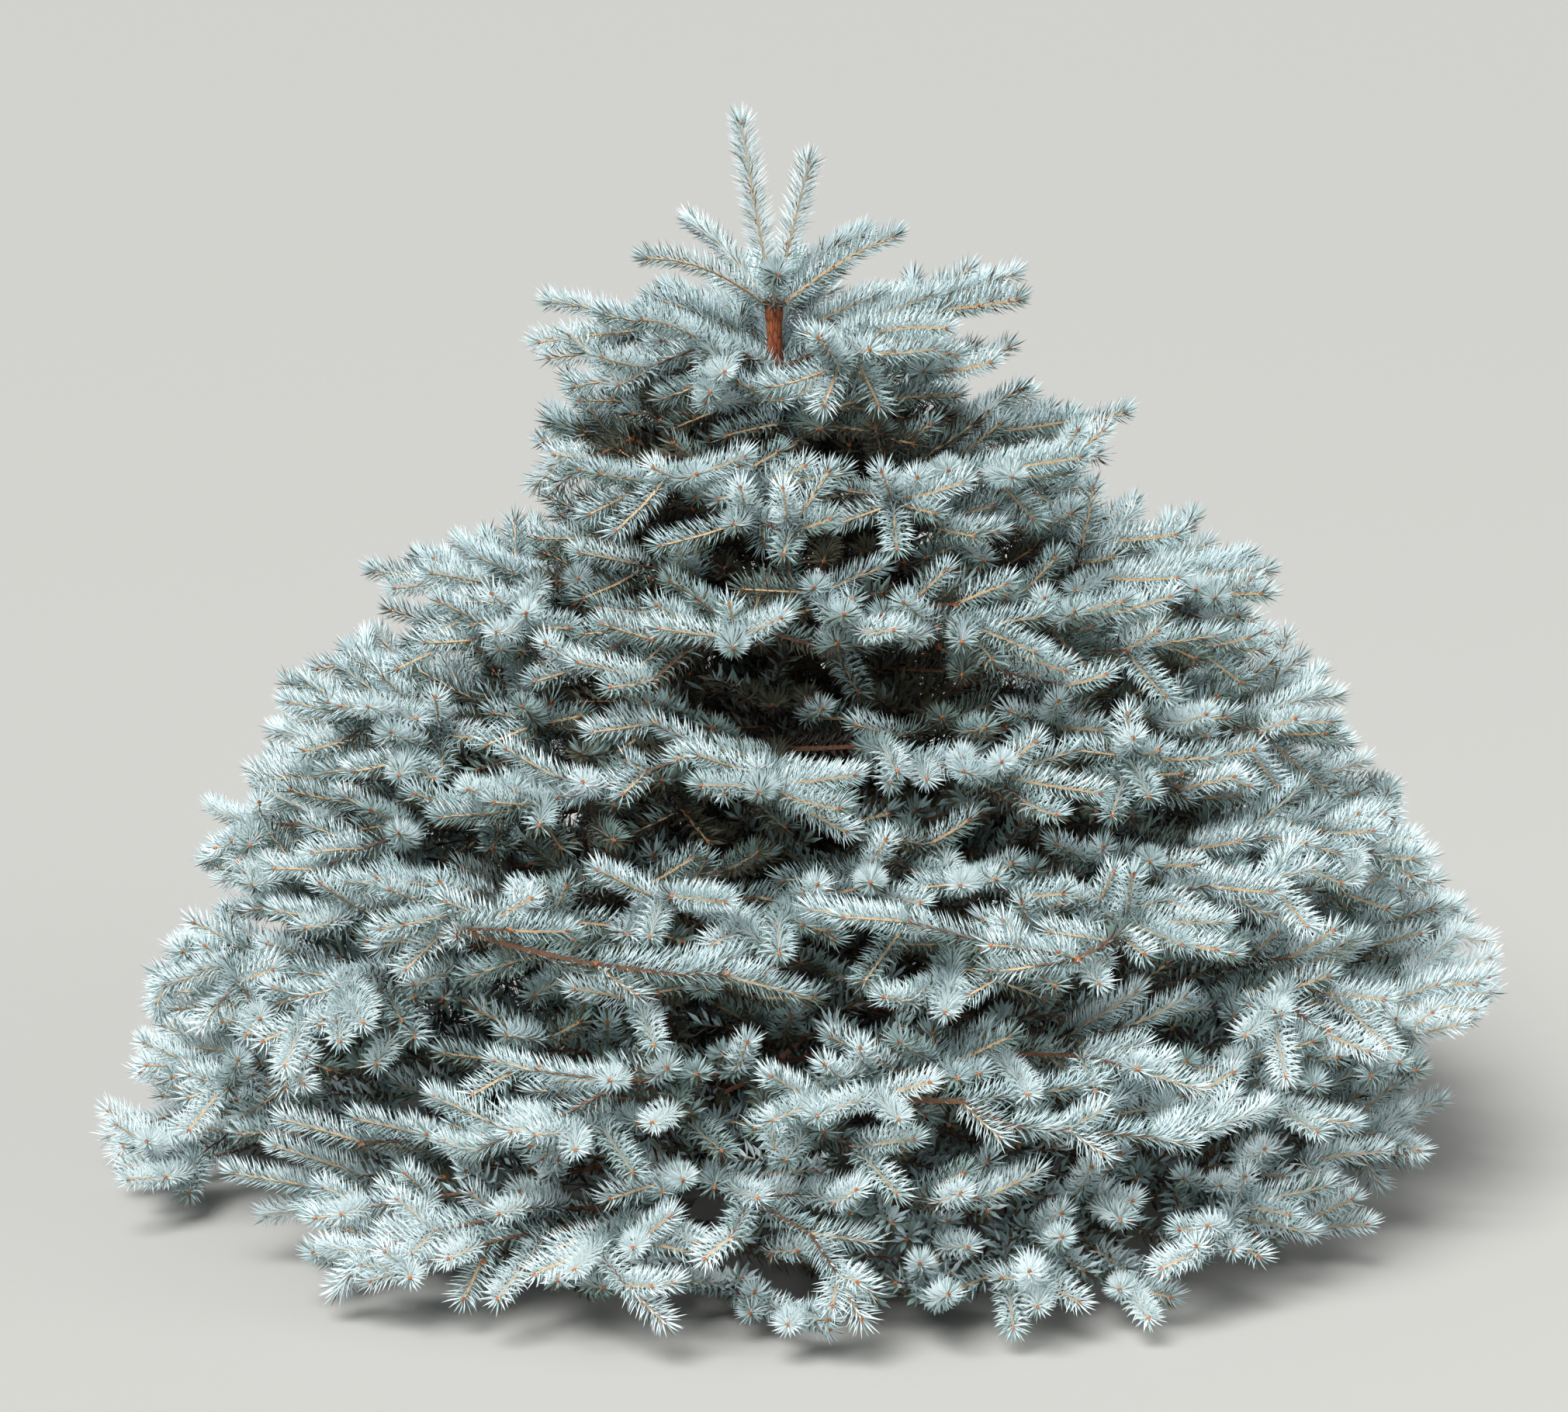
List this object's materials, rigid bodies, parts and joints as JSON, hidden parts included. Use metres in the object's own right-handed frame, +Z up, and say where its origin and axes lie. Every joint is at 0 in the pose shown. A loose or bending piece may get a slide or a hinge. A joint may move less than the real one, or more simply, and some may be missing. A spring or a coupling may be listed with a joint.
{
  "type": "blue spruce tree",
  "caption": "Low, broad blue spruce with a forked leader and level tiers of dense blue-silver needles, ending in a flat cut under the trunk at ground level.",
  "frame": {"origin": "centre of the flat cut under the trunk, at ground level", "axes": "+Z up along the trunk; -Y towards the side the picture shows; +X to that viewer's right"},
  "size_m": [1.3978, 1.3576, 1.051],
  "materials": {
    "bark": "rough grey-brown bark, orange-brown on young shoots",
    "needles": "matt blue-silver needles with a pale wax bloom"
  },
  "bodies": {
    "root": {"trunk": "bark", "leader_left": "needles", "leader_right": "needles", "needles_top_1": "needles", "needles_top_2": "needles", "needles_top_3": "needles", "needles_top_4": "needles", "needles_top_5": "needles", "needles_second_1": "needles", "needles_second_2": "needles", "needles_second_3": "needles", "needles_second_4": "needles", "needles_second_5": "needles", "needles_third_1": "needles", "needles_third_2": "needles", "needles_third_3": "needles", "needles_third_4": "needles", "bough_fourth_1": "bark", "bough_fourth_2": "bark", "bough_fourth_3": "bark", "bough_fourth_4": "bark", "needles_fourth_1": "needles", "needles_fourth_2": "needles", "needles_fourth_3": "needles", "needles_fourth_4": "needles", "bough_fifth_1": "bark", "bough_fifth_2": "bark", "bough_fifth_3": "bark", "bough_fifth_4": "bark", "bough_fifth_5": "bark", "needles_fifth_1": "needles", "needles_fifth_2": "needles", "needles_fifth_3": "needles", "needles_fifth_4": "needles", "needles_fifth_5": "needles", "bough_sixth_1": "bark", "bough_sixth_2": "bark", "bough_sixth_3": "bark", "bough_sixth_4": "bark", "bough_sixth_5": "bark", "needles_sixth_1": "needles", "needles_sixth_2": "needles", "needles_sixth_3": "needles", "needles_sixth_4": "needles", "needles_sixth_5": "needles", "bough_seventh_1": "bark", "bough_seventh_2": "bark", "bough_seventh_3": "bark", "bough_seventh_4": "bark", "bough_seventh_5": "bark", "needles_seventh_1": "needles", "needles_seventh_2": "needles", "needles_seventh_3": "needles", "needles_seventh_4": "needles", "needles_seventh_5": "needles", "needles_skirt_1": "needles", "needles_skirt_2": "needles", "needles_skirt_3": "needles", "needles_skirt_4": "needles", "needles_skirt_5": "needles"}
  },
  "joints": []
}
